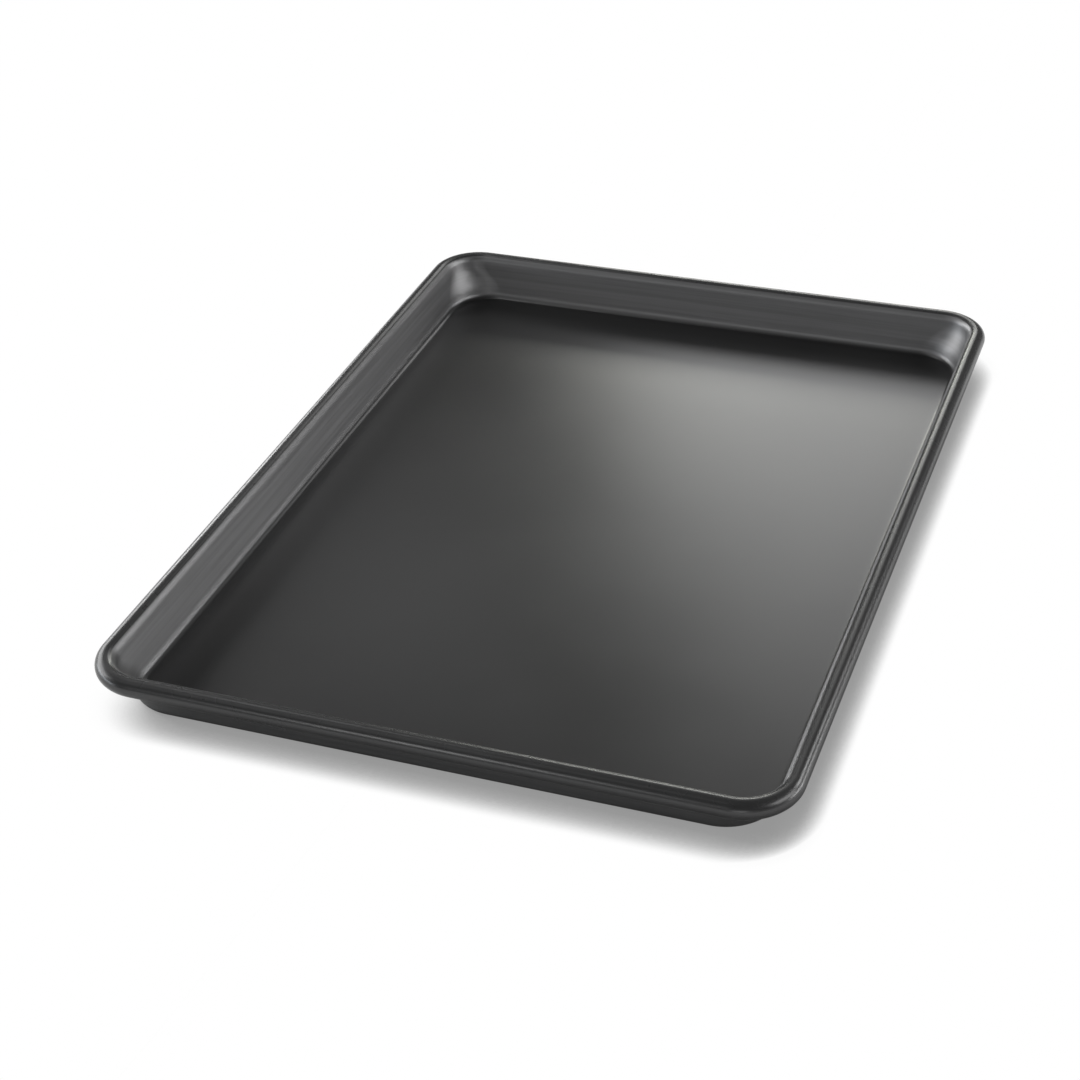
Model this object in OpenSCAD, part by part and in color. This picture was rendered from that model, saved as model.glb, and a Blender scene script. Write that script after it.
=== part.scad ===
// Jelly roll pan: one drawn sheet whose edge is rolled round a stiffening wire.
// Millimetres, +Z up. The origin is on the table, under the middle of the pan.
// X runs along the short side and Y along the long side.
// A point of a cross-section is [inset from the outside of the pan, height].

/* [Overall size] */
// Outside length of the pan, over the rims of the short sides
pan_length = 457; // [280:1:660]
// Outside width of the pan, over the rims of the long sides
pan_width = 330; // [200:1:460]
// Height of the pan, from the table to the top of the rim
pan_height = 25.4; // [19:0.1:60]

/* [Sheet] */
// Thickness of the sheet in the floor and in the rolled rim
sheet_t = 1; // [0.6:0.1:1.6]
// Angle that the walls lean outwards from upright
wall_lean = 11; // [4:0.5:25]
// Inside radius of the bend between the floor and the walls
bend_r = 4; // [1.5:0.5:6]
// Metal that drawing takes off each face of the walls
draw_thinning = 0.05; // [0.02:0.01:0.1]

/* [Corners] */
// Corner radius around the outside of the rim
rim_corner_r = 27; // [20:0.5:60]
// Corner radius around the edge of the flat floor
floor_corner_r = 21; // [8:0.5:50]

/* [Rim] */
// Diameter of the wire inside the rolled rim
wire_d = 7; // [4:0.1:9]
// Clearance between the wire and the sheet rolled round it
wire_clearance = 0.25; // [0.1:0.05:0.5]
// Gap between the two ends of the wire, where the hoop closes
wire_joint_gap = 1; // [0.5:0.1:5]
// Gap between the rolled lip and the outside of the wall
lip_gap = 0.6; // [0.3:0.1:1.5]

/* [Hidden] */
$fn = 96;

pan_colour = "#2c2c2e";
wire_colour = "#a4a8ab";

// The bead is the sheet rolled round the wire. The wall meets it as a tangent,
// and the roll starts weld_angle lower so that the two share metal.
bead_r = wire_d / 2 + wire_clearance + sheet_t;
bead = [bead_r, pan_height - bead_r];
weld_angle = 15;
lip_angle = acos((bead_r - sheet_t + draw_thinning - lip_gap) / bead_r) - wall_lean;

// The bend's centre lies over the edge of the flat floor.
wall_normal = [cos(wall_lean), sin(wall_lean)];
bend_z = sheet_t + bend_r;
wall_run = (bead.y + bead_r * wall_normal.y - bend_z) * tan(wall_lean);
floor_inset = bead.x + bead_r * wall_normal.x + wall_run + bend_r / wall_normal.x;
bend = [floor_inset, bend_z];
floor_land = sheet_t;

// The corner axis moves outwards from the floor's corner to the rim's corner.
floor_axis_inset = floor_inset + floor_corner_r;
rim_axis_z = bead.y - bead_r * sin(weld_angle);
bend_steps = 6;
wall_steps = 6;
corner_steps = 16;

// How far the corner axis lies inside the pan's outside faces at height z
function axis_inset(z) =
    let (drop = (rim_axis_z - z) / (rim_axis_z - bend_z),
         t = max(0, min(1, drop)))
    rim_corner_r + (floor_axis_inset - rim_corner_r) * t * t * (3 - 2 * t);

// Points of the rounded rectangle that lies this far inset at height z
function outline(inset, z) =
    let (a = axis_inset(z))
    [for (k = [0:3], s = [0:corner_steps])
        let (turn = 90 * (k + s / corner_steps),
             side_x = k == 0 || k == 3 ? 1 : -1,
             side_y = k < 2 ? 1 : -1)
        [side_x * (pan_width / 2 - a) + (a - inset) * cos(turn),
         side_y * (pan_length / 2 - a) + (a - inset) * sin(turn)]];

// One face of the bent sheet, from the flat floor up to the bead. The depths
// are measured into the sheet from its inside face, at the floor and the wall.
function sheet_face(floor_depth, wall_depth) =
    let (bend_turn = 90 - wall_lean,
         foot = bend - (bend_r + wall_depth) * wall_normal,
         top = bead + (bead_r - wall_depth) * wall_normal)
    concat(
        [for (s = [0:bend_steps - 1])
            let (part = s / bend_steps,
                 r = bend_r + floor_depth + (wall_depth - floor_depth) * part)
            bend - r * [sin(bend_turn * part), cos(bend_turn * part)]],
        [for (s = [0:wall_steps]) foot + (top - foot) * s / wall_steps]);

function reversed(list) = [for (i = [len(list) - 1:-1:0]) list[i]];

// The piece as it is drawn: floor, bent walls and rolled edge in one sheet
module pan_body() {
    color(pan_colour) {
        floor_sheet();
        bent_walls();
        around_rim() rolled_edge();
    }
}

// The hoop of wire, closed by a butt joint in the middle of a long side
module rim_wire() {
    color(wire_colour)
        difference() {
            around_rim() at_bead() circle(d = wire_d);
            translate([bead_r - pan_width / 2, 0, bead.y])
                cube([2 * wire_d, wire_joint_gap, 2 * wire_d], center = true);
        }
}

module floor_sheet() {
    linear_extrude(sheet_t) polygon(outline(floor_inset + floor_land, 0));
}

// The walls and their bends, as rings of points skinned into one closed band
module bent_walls() {
    land = floor_inset + floor_land;
    section = concat(
        [[land, sheet_t]],
        sheet_face(0, draw_thinning),
        reversed(sheet_face(sheet_t, sheet_t - draw_thinning)),
        [[land, 0]]);
    rings = len(section);
    around = 4 * (corner_steps + 1);
    points = [for (p = section, q = outline(p.x, p.y)) [q.x, q.y, p.y]];
    faces = [for (i = [0:rings - 1], j = [0:around - 1])
        let (row = i * around,
             next_row = (i + 1) % rings * around,
             next = (j + 1) % around)
        each [[row + j, row + next, next_row + next],
              [row + j, next_row + next, next_row + j]]];
    polyhedron(points, faces);
}

// Cross-section of the rolled edge, open between the lip and the wall
module rolled_edge() {
    at_bead()
        difference() {
            circle(bead_r);
            circle(bead_r - sheet_t);
            sector(180 - wall_lean + weld_angle, 180 + lip_angle, 2 * bead_r);
        }
}

// A wedge from the origin between two angles less than a half turn apart
module sector(from, to, r) {
    polygon([[0, 0], r * [cos(from), sin(from)], r * [cos(to), sin(to)]]);
}

// Places a shape at the bead's centre, measured outwards from the corner axis
module at_bead() {
    translate([rim_corner_r - bead.x, bead.y]) children();
}

// Carries a cross-section round the rim: four corners and four straight sides
module around_rim() {
    for (k = [0:3]) {
        along = k % 2 == 0 ? pan_length : pan_width;
        across = k % 2 == 0 ? pan_width : pan_length;
        rotate(90 * k)
            translate([across / 2 - rim_corner_r, along / 2 - rim_corner_r, 0]) {
                rotate_extrude(angle = 90) children();
                rotate([90, 0, 0]) linear_extrude(along - 2 * rim_corner_r) children();
            }
    }
}

pan_body();
rim_wire();
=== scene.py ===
import math

import bmesh
import bpy
from mathutils import Matrix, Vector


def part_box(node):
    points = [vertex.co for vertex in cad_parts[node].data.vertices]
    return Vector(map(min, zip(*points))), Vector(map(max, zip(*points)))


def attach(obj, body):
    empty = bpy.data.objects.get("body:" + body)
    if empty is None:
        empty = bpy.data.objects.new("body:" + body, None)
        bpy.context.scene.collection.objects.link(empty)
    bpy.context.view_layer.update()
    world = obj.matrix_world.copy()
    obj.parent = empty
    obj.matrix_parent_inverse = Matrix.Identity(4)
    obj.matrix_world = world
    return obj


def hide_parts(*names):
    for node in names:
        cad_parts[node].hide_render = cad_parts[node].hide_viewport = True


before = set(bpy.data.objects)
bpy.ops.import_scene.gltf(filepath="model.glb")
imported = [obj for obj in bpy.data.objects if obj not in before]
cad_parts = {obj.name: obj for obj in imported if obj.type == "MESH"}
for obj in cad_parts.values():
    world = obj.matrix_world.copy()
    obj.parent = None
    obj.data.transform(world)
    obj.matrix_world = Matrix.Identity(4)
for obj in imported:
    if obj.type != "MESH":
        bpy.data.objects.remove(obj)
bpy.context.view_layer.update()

MM = 0.001
MICRON = 0.001 * MM

# Sizes of the sheet and its rim, beside those that the frame gives
SHEET = 1 * MM
DRAW_THINNING = 0.05 * MM
WALL_LEAN_DEGREES = 11
WALL_LEAN = math.radians(WALL_LEAN_DEGREES)
BEND_R = 4 * MM
WELD_ANGLE = math.radians(15)
RIM_CORNER_R = 27 * MM
FLOOR_CORNER_R = 21 * MM
LIP_GAP = 0.6 * MM
LIP_ROUND = 0.2 * MM
FLOOR_LAND = 2 * MM

# How finely the sheet is modelled: steps in each part of its section, and round each corner
LIP_STEPS = 6
BEAD_STEPS = 10
SHOULDER_STEPS = 9
WALL_STEPS = 10
BEND_STEPS = 10
CORNER_STEPS = 24
RING_POINTS = 4 * (CORNER_STEPS + 1)
LIP_ROUND_STEPS = 2
SHARP_ANGLE = math.radians(50)
SMOOTH_ANGLE = math.radians(40)

# Shade, metal sheen and roughness of the dark coat on the flat floor, the drawn walls and the bead
FLOOR_SHADE = 0.095
FLOOR_SHEEN = 0.9
FLOOR_ROUGHNESS = 0.28
WALL_SHADE = 0.19
WALL_SHEEN = 0.88
WALL_ROUGHNESS = 0.46
CORNER_ROUGHNESS = 0.42
BEAD_SHADE = 0.06
BEAD_SHEEN = 0.4
BEAD_ROUGHNESS = 0.27
COAT_BLUE = 1.01

# The bead's coat starts this far in from the rim, in radii of the bead
BEAD_SHARE = 1.53
ZONE_SOFTNESS = 0.5 * MM

# What the coat's clouds, drawing marks and rubbed patches add to its shade, roughness and relief
CLOUD_SHADE = 0.006
CLOUD_ROUGHNESS = 0.02
MARK_SHADE = 0.045
MARK_ROUGHNESS = 0.05
MARK_RELIEF = 20
RUBBED_SHADE = 0.006
RUBBED_ROUGHNESS = -0.02
BEAD_SMOOTHING = -0.6
GRAIN_DEPTH = 0.3 * MICRON

# Parts of the noise's range that are stretched out into clouds, marks and patches
CLOUD_RANGE = (0.3, 0.7)
PATCH_RANGE = (0.4, 0.65)

# The wire's zinc: its shade and roughness, what the clouds add to them, and its relief
ZINC_SHADE = 0.48
ZINC_CLOUD_SHADE = 0.12
ZINC_ROUGHNESS = 0.38
ZINC_CLOUD_ROUGHNESS = 0.15
ZINC_BLUE = 1.03
ZINC_DEPTH = 10 * MICRON

# White paper under the pan: its shade and size, and how far and how dark the pan's painted shadow reaches
# on it. The shadow is painted into the paper's glow from ambient occlusion, not cast by the lamps.
# Reflections see a painted shadow that reaches farther and is raised to this power, which darkens the
# paper seen in the pan
PAPER = 0.8
PAPER_RADIUS = 25
PAPER_SIDES = 64
PAINTED_SHADOW_REACH = 20 * MM
PAINTED_SHADOW_DEPTH = 0.3
PAINTED_SHADOW_START = 0.45
REFLECTED_PAINTED_SHADOW_REACH = 150 * MM
REFLECTED_PAINTED_SHADOW_POWER = 2
# The painted shadow falls away from this direction, as if the paper were lit from there
TOWARDS_LIGHT = (-0.78, 0.5, 0.38)

# Usual distance and tints of the lamps, and the shade of the room around them
LAMP_DISTANCE = 1.6
WHITE = (1, 1, 1)
WARM_WHITE = (1, 1.01, 0.93)
COOL_WHITE = (0.94, 1, 1.06)
ROOM_SHADE = 0.05

# The camera stands at the photo's viewing angle
CAMERA_PLACE = (0.3205, -0.8946, 0.6058)
CAMERA_HEADING = math.radians(21.18)
CAMERA_TILT = math.radians(90 - 33.12)
CAMERA_ROLL = math.radians(-2.43)
CAMERA_SENSOR = 36
CAMERA_LENS = 73.4

# Outside of the pan and place of its wire, from the frame
pan_low, pan_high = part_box("pan_body")
wire_low, wire_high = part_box("rim_wire")
pan_width = pan_high[0] - pan_low[0]
pan_length = pan_high[1] - pan_low[1]
bead_z = (wire_low[2] + wire_high[2]) / 2
bead_r = pan_high[2] - bead_z

# Places in a cross-section are inset from the outside of the pan, then height
wall_normal = (math.cos(WALL_LEAN), math.sin(WALL_LEAN))
bend_z = SHEET + BEND_R
wall_top = (bead_r + bead_r * wall_normal[0], bead_z + bead_r * wall_normal[1])
wall_foot = (wall_top[0] + (wall_top[1] - bend_z) * math.tan(WALL_LEAN), bend_z)
floor_inset = wall_foot[0] + BEND_R / wall_normal[0]
bead = (bead_r, bead_z)
bend = (floor_inset, bend_z)
rim_axis_z = bead_z - bead_r * math.sin(WELD_ANGLE)


def corner_axis_inset(height):
    """How far the axis of the walls' corners lies inside the pan's outside faces"""
    drop = (rim_axis_z - height) / (rim_axis_z - bend_z)
    drop = max(0, min(1, drop))
    blend = drop * drop * (3 - 2 * drop)
    return RIM_CORNER_R + (floor_inset + FLOOR_CORNER_R - RIM_CORNER_R) * blend


def arc(centre, radius, start, end, steps):
    """Places along an arc, after its start. Degrees turn from outwards through upwards"""
    places = []
    for step in range(1, steps + 1):
        angle = math.radians(start + (end - start) * step / steps)
        places.append((centre[0] - radius * math.cos(angle), centre[1] + radius * math.sin(angle)))
    return places


def straight(start, end, steps):
    """Places along a line, after its start"""
    return [tuple(a + (b - a) * step / steps for a, b in zip(start, end)) for step in range(1, steps + 1)]


def bead_section():
    """The outside of the rolled edge, from its lip under and round the wire to the wall. 270 degrees
    point down, 360 outwards, 450 up and 540 inwards"""
    lip_cosine = (bead_r - SHEET + DRAW_THINNING - LIP_GAP) / bead_r
    lip = 180 + math.degrees(math.acos(lip_cosine)) - WALL_LEAN_DEGREES
    return (arc(bead, bead_r, lip, lip, 1)
            + arc(bead, bead_r, lip, 270, LIP_STEPS)
            + arc(bead, bead_r, 270, 360, BEAD_STEPS)
            + arc(bead, bead_r, 360, 450, BEAD_STEPS)
            + arc(bead, bead_r, 450, 540 - WALL_LEAN_DEGREES, SHOULDER_STEPS))


def wall_section():
    """The inside of the wall and its bend, from the bead down to the floor"""
    foot = (bend[0] - BEND_R * wall_normal[0], bend[1] - BEND_R * wall_normal[1])
    return (straight(wall_top, foot, WALL_STEPS)
            + arc(bend, BEND_R, 360 - WALL_LEAN_DEGREES, 270, BEND_STEPS))


def add_ring(inset, height, axis_inset):
    """Adds the pan's rounded outline at this inset and height, as a loop of edges"""
    centre = (0, 0, height)
    width = pan_width - 2 * inset
    length = pan_length - 2 * inset
    bpy.ops.mesh.primitive_plane_add(size=1, location=centre)
    bpy.ops.transform.resize(value=(width, length, 1), center_override=centre)
    bpy.ops.mesh.bevel(offset=axis_inset - inset, segments=CORNER_STEPS, affect="VERTICES")
    bpy.ops.mesh.delete(type="ONLY_FACE")


def select_newest(count):
    """Selects the points that were added last, and nothing else"""
    sheet = bmesh.from_edit_mesh(bpy.context.object.data)
    first = len(sheet.verts) - count
    for number, point in enumerate(sheet.verts):
        point.select = number >= first
    sheet.select_flush_mode()
    bmesh.update_edit_mesh(bpy.context.object.data)


def modify(piece, kind, **settings):
    """Applies one modifier to a piece"""
    modifier = piece.modifiers.new(kind, kind)
    for name, value in settings.items():
        setattr(modifier, name, value)
    bpy.ops.object.modifier_apply(modifier=modifier.name)


def model_rolled_sheet():
    """The whole sheet: its outer and upper face is skinned ring by ring, then gets its thickness"""
    bpy.ops.object.select_all(action="DESELECT")
    bpy.ops.mesh.primitive_plane_add(size=pan_width)
    sheet = bpy.context.object
    sheet.name = "rolled_sheet"
    bpy.ops.object.mode_set(mode="EDIT")
    bpy.ops.mesh.delete(type="VERT")
    rings = [(inset, height, RIM_CORNER_R) for inset, height in bead_section()]
    rings += [(inset, height, corner_axis_inset(height)) for inset, height in wall_section()]
    for number, ring in enumerate(rings):
        add_ring(*ring)
        if number > 0:
            select_newest(2 * RING_POINTS)
            bpy.ops.mesh.bridge_edge_loops()
    select_newest(RING_POINTS)
    bpy.ops.mesh.edge_face_add()
    bpy.ops.mesh.inset(thickness=FLOOR_LAND)
    bpy.ops.mesh.select_all(action="SELECT")
    bpy.ops.mesh.normals_make_consistent(inside=False)
    floor_face = max(bmesh.from_edit_mesh(sheet.data).faces, key=lambda face: face.calc_area())
    if floor_face.normal.z < 0:
        bpy.ops.mesh.flip_normals()
    bpy.ops.object.mode_set(mode="OBJECT")
    modify(sheet, "SOLIDIFY", thickness=SHEET, offset=-1, use_even_offset=True)
    modify(sheet, "BEVEL", width=LIP_ROUND, segments=LIP_ROUND_STEPS, limit_method="ANGLE",
           angle_limit=SHARP_ANGLE)
    bpy.ops.object.shade_smooth_by_angle(angle=SMOOTH_ANGLE)
    return sheet


def softbox(name, heading, elevation, size, strength, tint=WHITE, distance=LAMP_DISTANCE):
    """A soft lamp aimed at the pan, in degrees and metres. Heading 0 is behind the pan and 90 is
    right of it. Strength 1 is as bright as white paper in full light"""
    lamp = bpy.data.lights.new(name, "AREA")
    lamp.shape = "RECTANGLE"
    lamp.size, lamp.size_y = size
    lamp.energy = strength * math.pi * size[0] * size[1]
    lamp.color = tint
    piece = bpy.data.objects.new(name, lamp)
    piece.visible_camera = False
    turn = Matrix.Rotation(-math.radians(heading), 4, "Z")
    tilt = Matrix.Rotation(math.radians(elevation - 90), 4, "X")
    piece.matrix_world = turn @ tilt @ Matrix.Translation((0, 0, distance))
    bpy.context.collection.objects.link(piece)


def add_camera():
    """The camera of the main picture"""
    data = bpy.data.cameras.new("camera")
    data.sensor_width = CAMERA_SENSOR
    data.lens = CAMERA_LENS
    camera = bpy.data.objects.new("camera", data)
    turn = Matrix.Rotation(CAMERA_HEADING, 4, "Z") @ Matrix.Rotation(CAMERA_TILT, 4, "X")
    turn = turn @ Matrix.Rotation(CAMERA_ROLL, 4, "Z")
    camera.matrix_world = Matrix.Translation(CAMERA_PLACE) @ turn
    bpy.context.collection.objects.link(camera)
    bpy.context.scene.camera = camera


def new_group(name, inputs, outputs):
    """A shader node group and its two ends. An input is a number, or a vector where it is None"""
    tree = bpy.data.node_groups.new(name, "ShaderNodeTree")
    for label, value in inputs.items():
        kind = "NodeSocketVector" if value is None else "NodeSocketFloat"
        socket = tree.interface.new_socket(label, in_out="INPUT", socket_type=kind)
        if value is not None:
            socket.default_value = value
    for label in outputs:
        tree.interface.new_socket(label, in_out="OUTPUT", socket_type="NodeSocketFloat")
    return tree, tree.nodes.new("NodeGroupInput").outputs, tree.nodes.new("NodeGroupOutput").inputs


def feed(tree, socket, value):
    """Gives a socket its value, or links it to the other node's socket that the value is"""
    if isinstance(value, bpy.types.NodeSocket):
        tree.links.new(value, socket)
    else:
        socket.default_value = value


def feed_by_name(tree, node, values):
    """Feeds the named sockets of a node. A name has underscores for the spaces in its label"""
    for name, value in values.items():
        feed(tree, node.inputs[name.replace("_", " ")], value)


def add_node(tree, kind, **values):
    """Adds a node with the values of its sockets"""
    node = tree.nodes.new(kind)
    feed_by_name(tree, node, values)
    return node


def use_group(tree, group, **values):
    """Places a node group with this material's own values, and returns its outputs"""
    node = tree.nodes.new("ShaderNodeGroup")
    node.node_tree = group
    feed_by_name(tree, node, values)
    return node.outputs


def operate(tree, kind, operation, values):
    """Adds a Math or Vector Math node that works on these values, in their order"""
    node = tree.nodes.new(kind)
    node.operation = operation
    for socket, value in zip(node.inputs, values):
        feed(tree, socket, value)
    return node.outputs


def combine(tree, operation, *values):
    """A Math node's result for sockets and numbers"""
    return operate(tree, "ShaderNodeMath", operation, values)["Value"]


def vector_maths(tree, operation, *values):
    """A Vector Math node's vector for sockets and vectors"""
    return operate(tree, "ShaderNodeVectorMath", operation, values)["Vector"]


def add_share(tree, mask, amount, base):
    """The base, with the amount added to it where the mask is 1"""
    return combine(tree, "MULTIPLY_ADD", mask, amount, base)


def axes_of(tree, place):
    """The X, Y and Z of a place"""
    return add_node(tree, "ShaderNodeSeparateXYZ", Vector=place).outputs


def noise(tree, place, scale, detail=2.0, roughness=0.5):
    """Smooth noise around 0.5 with so many patches to the metre"""
    node = add_node(tree, "ShaderNodeTexNoise", Vector=place, Scale=scale, Detail=detail,
                    Roughness=roughness)
    return node.outputs["Fac"]


def spread(tree, value, low, high, to_low=0.0, to_high=1.0):
    """Carries a value from one range to another, smoothly and without going past its ends"""
    node = add_node(tree, "ShaderNodeMapRange", Value=value, From_Min=low, From_Max=high,
                    To_Min=to_low, To_Max=to_high)
    node.interpolation_type = "SMOOTHSTEP"
    return node.outputs["Result"]


def satin_grain_group():
    """Fine matt grain, with broad clouds where it lies a little closer"""
    inputs = {"Place": None, "Grains per Metre": 1500, "Clouds per Metre": 14}
    tree, start, end = new_group("satin_grain", inputs, ["Height", "Clouds"])
    fine = noise(tree, start["Place"], start["Grains per Metre"], detail=3)
    tree.links.new(fine, end["Height"])
    clouds = noise(tree, start["Place"], start["Clouds per Metre"])
    tree.links.new(spread(tree, clouds, *CLOUD_RANGE), end["Clouds"])
    return tree


def drawn_streaks_group():
    """Long marks that run level along a wall, where the metal slid through the die"""
    inputs = {"Place": None, "Marks per Metre Up": 420, "Marks per Metre Along": 7}
    tree, start, end = new_group("drawn_streaks", inputs, ["Marks"])
    stretch = add_node(tree, "ShaderNodeCombineXYZ", X=start["Marks per Metre Along"],
                       Y=start["Marks per Metre Along"], Z=start["Marks per Metre Up"])
    stretched = vector_maths(tree, "MULTIPLY", start["Place"], stretch.outputs["Vector"])
    marks = noise(tree, stretched, 1, detail=3, roughness=0.6)
    tree.links.new(spread(tree, marks, *CLOUD_RANGE), end["Marks"])
    return tree


def sheet_zones_group():
    """Masks of the rolled bead, of the drawn walls between it and the floor, and of their corners"""
    inputs = {"Place": None, "Softness": ZONE_SOFTNESS}
    tree, start, end = new_group("sheet_zones", inputs, ["Bead", "Wall", "Corner"])
    core = (pan_width / 2 - RIM_CORNER_R, pan_length / 2 - RIM_CORNER_R, pan_high[2])
    mirrored = vector_maths(tree, "ABSOLUTE", start["Place"])
    past_core = vector_maths(tree, "SUBTRACT", mirrored, core)
    around_corner = vector_maths(tree, "MAXIMUM", past_core, (0, 0, 0))
    reach = operate(tree, "ShaderNodeVectorMath", "LENGTH", [around_corner])["Value"]
    inset = combine(tree, "SUBTRACT", RIM_CORNER_R, reach)
    bead_edge = BEAD_SHARE * bead_r
    inside = spread(tree, inset, bead_edge, combine(tree, "ADD", bead_edge, start["Softness"]))
    tree.links.new(combine(tree, "SUBTRACT", 1, inside), end["Bead"])
    bend_top = 2 * SHEET + BEND_R / 2
    above_floor = spread(tree, axes_of(tree, start["Place"])["Z"], SHEET, bend_top)
    wall = combine(tree, "MULTIPLY", inside, above_floor)
    tree.links.new(wall, end["Wall"])
    past_sides = axes_of(tree, past_core)
    into_corner = combine(tree, "MINIMUM", past_sides["X"], past_sides["Y"])
    turned = spread(tree, into_corner, 0, RIM_CORNER_R / 4)
    tree.links.new(combine(tree, "MULTIPLY", wall, turned), end["Corner"])
    return tree


def rubbed_edges_group():
    """Patches where hands and racks have rubbed an edge smooth, between two heights"""
    inputs = {"Place": None, "Low": 0.0, "High": 1.0, "Patches per Metre": 30}
    tree, start, end = new_group("rubbed_edges", inputs, ["Mask"])
    rise = spread(tree, axes_of(tree, start["Place"])["Z"], start["Low"], start["High"])
    patches = noise(tree, start["Place"], start["Patches per Metre"])
    tree.links.new(combine(tree, "MULTIPLY", rise, spread(tree, patches, *PATCH_RANGE)), end["Mask"])
    return tree


def new_material(name):
    """A material with its node tree, and the sockets of its shader"""
    material = bpy.data.materials.new(name)
    material.use_nodes = True
    tree = material.node_tree
    shader = next(node for node in tree.nodes if node.type == "BSDF_PRINCIPLED")
    return material, tree, shader.inputs


def place_on_piece(tree):
    """The place of a point on its piece"""
    return tree.nodes.new("ShaderNodeTexCoord").outputs["Object"]


def grey(tree, shade, blue=1):
    """A grey of this shade, with its blue times a factor"""
    colour = add_node(tree, "ShaderNodeCombineColor", Red=shade, Green=shade,
                      Blue=combine(tree, "MULTIPLY", shade, blue))
    return colour.outputs["Color"]


def relief_normal(tree, height, depth):
    """The normal of a surface with this relief"""
    return add_node(tree, "ShaderNodeBump", Height=height, Strength=1, Distance=depth).outputs["Normal"]


def dark_coat():
    """The sheet's dark satin coat. It is lighter and duller on the drawn walls, a little smoother in
    their corners, and darker and less metallic on the bead, where patches are rubbed smooth"""
    material, tree, shader = new_material("dark_satin_coat")
    place = place_on_piece(tree)
    grain = use_group(tree, groups["grain"], Place=place, Grains_per_Metre=1600, Clouds_per_Metre=12)
    zones = use_group(tree, groups["zones"], Place=place)
    marks = use_group(tree, groups["streaks"], Place=place)["Marks"]
    wall_marks = combine(tree, "MULTIPLY", zones["Wall"], marks)
    patches = use_group(tree, groups["rubbed"], Place=place, Low=bead_z, High=pan_high[2],
                        Patches_per_Metre=60)["Mask"]
    rubbed = combine(tree, "MULTIPLY", patches, zones["Bead"])

    shade = add_share(tree, grain["Clouds"], CLOUD_SHADE, FLOOR_SHADE)
    shade = add_share(tree, zones["Wall"], WALL_SHADE - FLOOR_SHADE, shade)
    shade = add_share(tree, zones["Bead"], BEAD_SHADE - FLOOR_SHADE, shade)
    shade = add_share(tree, wall_marks, MARK_SHADE, shade)
    shade = add_share(tree, rubbed, RUBBED_SHADE, shade)
    tree.links.new(grey(tree, shade, COAT_BLUE), shader["Base Color"])

    sheen = add_share(tree, zones["Wall"], WALL_SHEEN - FLOOR_SHEEN, FLOOR_SHEEN)
    sheen = add_share(tree, zones["Bead"], BEAD_SHEEN - FLOOR_SHEEN, sheen)
    tree.links.new(sheen, shader["Metallic"])

    satin = add_share(tree, grain["Clouds"], CLOUD_ROUGHNESS, FLOOR_ROUGHNESS)
    satin = add_share(tree, zones["Wall"], WALL_ROUGHNESS - FLOOR_ROUGHNESS, satin)
    satin = add_share(tree, zones["Corner"], CORNER_ROUGHNESS - WALL_ROUGHNESS, satin)
    satin = add_share(tree, zones["Bead"], BEAD_ROUGHNESS - FLOOR_ROUGHNESS, satin)
    satin = add_share(tree, wall_marks, MARK_ROUGHNESS, satin)
    satin = add_share(tree, rubbed, RUBBED_ROUGHNESS, satin)
    tree.links.new(satin, shader["Roughness"])

    smoothing = combine(tree, "MULTIPLY", grain["Height"], BEAD_SMOOTHING)
    relief = add_share(tree, zones["Bead"], smoothing, grain["Height"])
    relief = add_share(tree, wall_marks, MARK_RELIEF, relief)
    tree.links.new(relief_normal(tree, relief, GRAIN_DEPTH), shader["Normal"])
    return material


def zinc_coat():
    """The wire's dull zinc coat"""
    material, tree, shader = new_material("dull_zinc")
    grain = use_group(tree, groups["grain"], Place=place_on_piece(tree), Grains_per_Metre=900,
                      Clouds_per_Metre=120)
    shade = add_share(tree, grain["Clouds"], ZINC_CLOUD_SHADE, ZINC_SHADE)
    tree.links.new(grey(tree, shade, ZINC_BLUE), shader["Base Color"])
    shader["Metallic"].default_value = 1
    satin = add_share(tree, grain["Clouds"], ZINC_CLOUD_ROUGHNESS, ZINC_ROUGHNESS)
    tree.links.new(satin, shader["Roughness"])
    tree.links.new(relief_normal(tree, grain["Height"], ZINC_DEPTH), shader["Normal"])
    return material


def white_paper():
    """White paper. The camera and reflections see it glowing white, with the pan's soft shadow painted
    into that glow
    """
    material, tree, shader = new_material("white_paper")
    path = tree.nodes.new("ShaderNodeLightPath").outputs
    in_camera = path["Is Camera Ray"]
    seen = combine(tree, "MAXIMUM", in_camera, path["Is Glossy Ray"])
    seen = combine(tree, "MAXIMUM", seen, path["Is Transmission Ray"])
    lit = add_share(tree, seen, -PAPER, PAPER)
    tree.links.new(grey(tree, lit), shader["Base Color"])
    shader["Roughness"].default_value = 1
    shader["Specular IOR Level"].default_value = 0

    # Painted shadow: ambient occlusion, leaning towards one side, darkens the paper's glow near the pan
    towards_light = add_node(tree, "ShaderNodeCombineXYZ", X=TOWARDS_LIGHT[0], Y=TOWARDS_LIGHT[1],
                             Z=TOWARDS_LIGHT[2])
    reach = add_share(tree, in_camera, PAINTED_SHADOW_REACH - REFLECTED_PAINTED_SHADOW_REACH, REFLECTED_PAINTED_SHADOW_REACH)
    open_sky = add_node(tree, "ShaderNodeAmbientOcclusion", Distance=reach,
                        Normal=towards_light.outputs["Vector"])
    painted_shadow = spread(tree, open_sky.outputs["AO"], PAINTED_SHADOW_START, 1, PAINTED_SHADOW_DEPTH, 1)
    # Reflections see the painted shadow darker still, raised to a power
    power = add_share(tree, in_camera, 1 - REFLECTED_PAINTED_SHADOW_POWER, REFLECTED_PAINTED_SHADOW_POWER)
    painted_shadow = combine(tree, "POWER", painted_shadow, power)
    shader["Emission Color"].default_value = (1, 1, 1, 1)
    tree.links.new(combine(tree, "MULTIPLY", seen, painted_shadow), shader["Emission Strength"])
    return material


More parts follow.
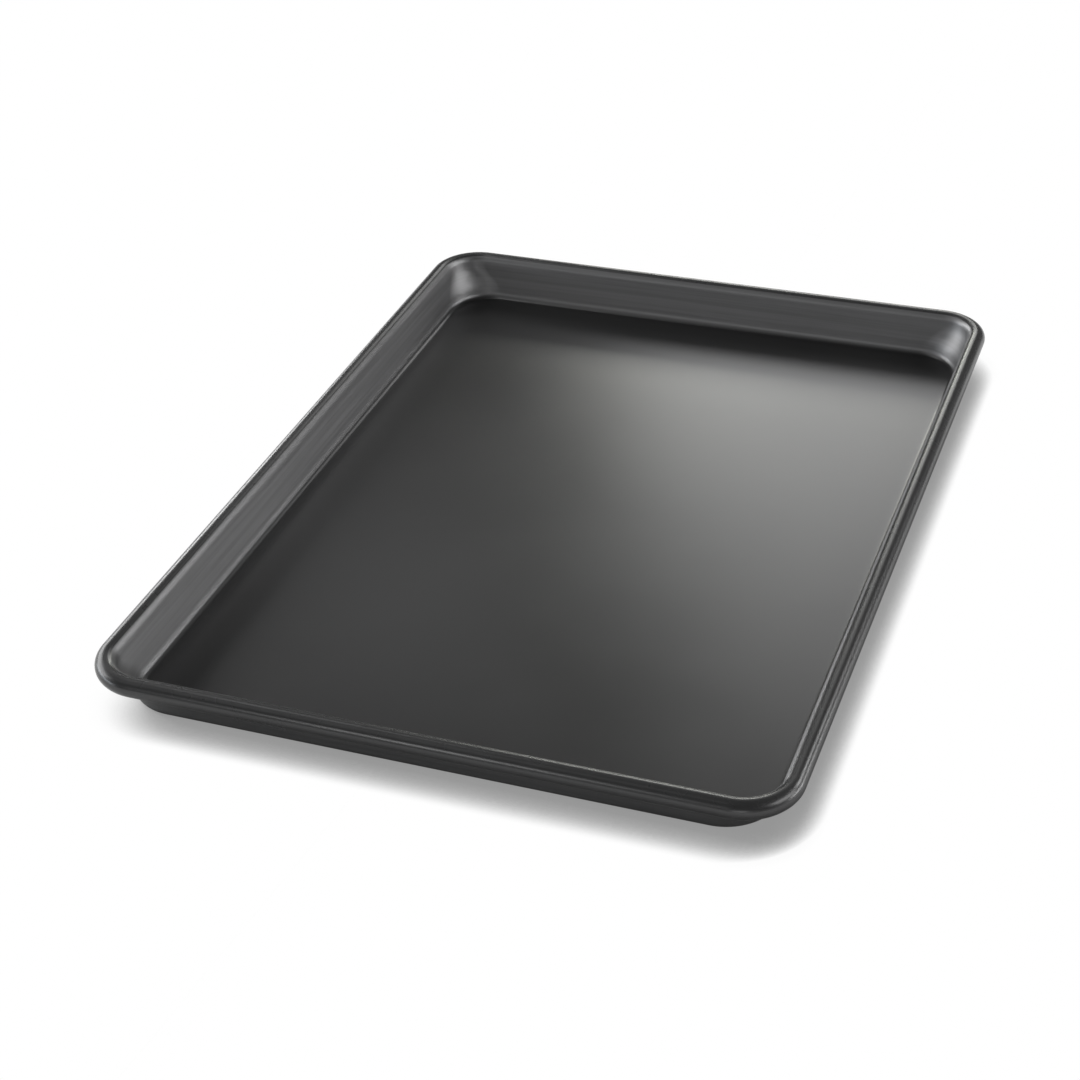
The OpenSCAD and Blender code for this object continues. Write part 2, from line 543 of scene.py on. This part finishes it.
def add_floor():
    """The paper that the pan stands on"""
    bpy.ops.object.select_all(action="DESELECT")
    bpy.ops.mesh.primitive_circle_add(vertices=PAPER_SIDES, radius=PAPER_RADIUS, fill_type="NGON")
    floor = bpy.context.object
    floor.name = "floor"
    floor.data.materials.append(white_paper())


groups = {
    "grain": satin_grain_group(),
    "streaks": drawn_streaks_group(),
    "zones": sheet_zones_group(),
    "rubbed": rubbed_edges_group(),
}
add_camera()
add_floor()

rolled_sheet = model_rolled_sheet()
rolled_sheet.data.materials.append(dark_coat())
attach(rolled_sheet, "root")
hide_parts("pan_body")

rim_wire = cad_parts["rim_wire"]
rim_wire.data.materials.clear()
rim_wire.data.materials.append(zinc_coat())

# Lamps: heading and elevation, then width and height, strength, tint and distance
softbox("back_box", -8, 28, (0.45, 0.35), 2.8)
softbox("back_spot", -14, 18, (0.3, 0.2), 8.5, WARM_WHITE)
softbox("back_low_card", -3, 18, (0.22, 0.2), 6.5, WARM_WHITE)
softbox("back_top_card", 0, 40, (0.5, 0.3), 1)
softbox("back_left_card", -47, 16, (0.3, 0.45), 8)
softbox("back_left_high_card", -30, 36, (0.3, 0.2), 1.1)
softbox("left_high_card", -62, 60, (0.5, 0.3), 2)
softbox("right_back_card", 50, 31, (0.45, 0.4), 8)
softbox("right_low_strip", 56, 6, (0.4, 0.22), 8)
softbox("right_strip", 76, 8, (0.8, 0.25), 8.5)
softbox("right_box", 92, 32, (1.2, 0.6), 3.5)
softbox("front_card", -162, 22, (0.3, 0.35), 7, distance=1.85)
softbox("front_low_card", 165, 10, (0.6, 0.3), 2.5)
softbox("front_high_card", -128, 60, (0.9, 0.8), 0.45)
softbox("left_box", -80, 20, (1.6, 0.75), 4.2)
softbox("left_strip", -105, 6, (1.4, 0.28), 4, COOL_WHITE)

world = bpy.data.worlds.new("studio")
world.use_nodes = True
room_light = world.node_tree.nodes["Background"].inputs
room_light["Color"].default_value = (ROOM_SHADE, ROOM_SHADE, ROOM_SHADE, 1)
bpy.context.scene.world = world
bpy.context.scene.view_settings.view_transform = "Standard"
